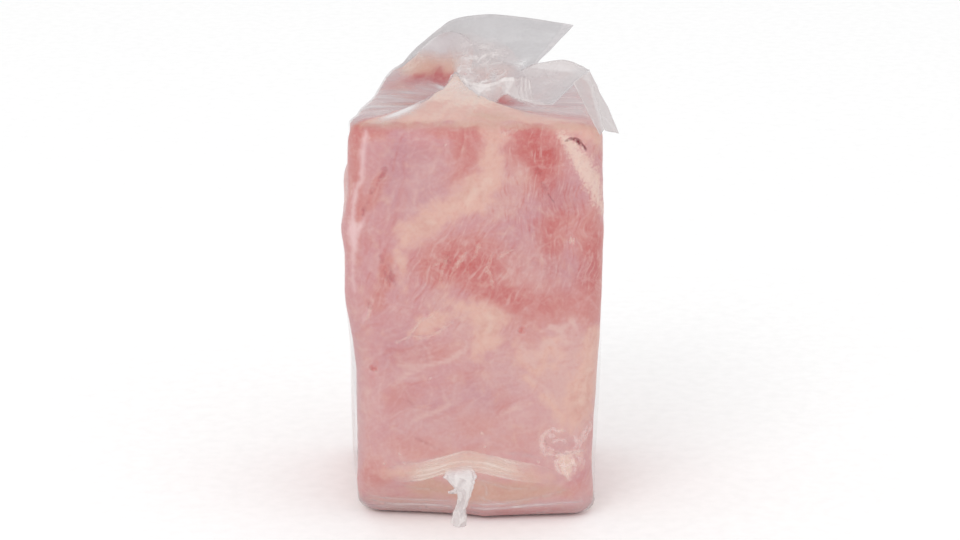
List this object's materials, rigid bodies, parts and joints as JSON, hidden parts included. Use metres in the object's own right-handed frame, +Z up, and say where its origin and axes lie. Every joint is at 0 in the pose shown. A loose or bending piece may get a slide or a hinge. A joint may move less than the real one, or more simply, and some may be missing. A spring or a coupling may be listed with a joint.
{
  "type": "cooked ham in clear film",
  "caption": "Whole cooked ham pressed to a square-sided block, sealed in shrunk clear film that is gathered at the top and folded at the foot.",
  "frame": {"origin": "middle of the flat end that the block stands on", "axes": "+Z up along the block, from the folded end of its film to the gathered end; -Y out of the face that carries the folded seam and its tail; +X to the right of that face"},
  "size_m": [0.1168, 0.112, 0.2064],
  "materials": {
    "film_on_ham": "pink cured meat under glossy clear film",
    "loose_film": "clear film, slightly hazy where it is loose, doubled or crumpled"
  },
  "bodies": {
    "root": {"ham_in_film": "film_on_ham"}
  },
  "joints": []
}
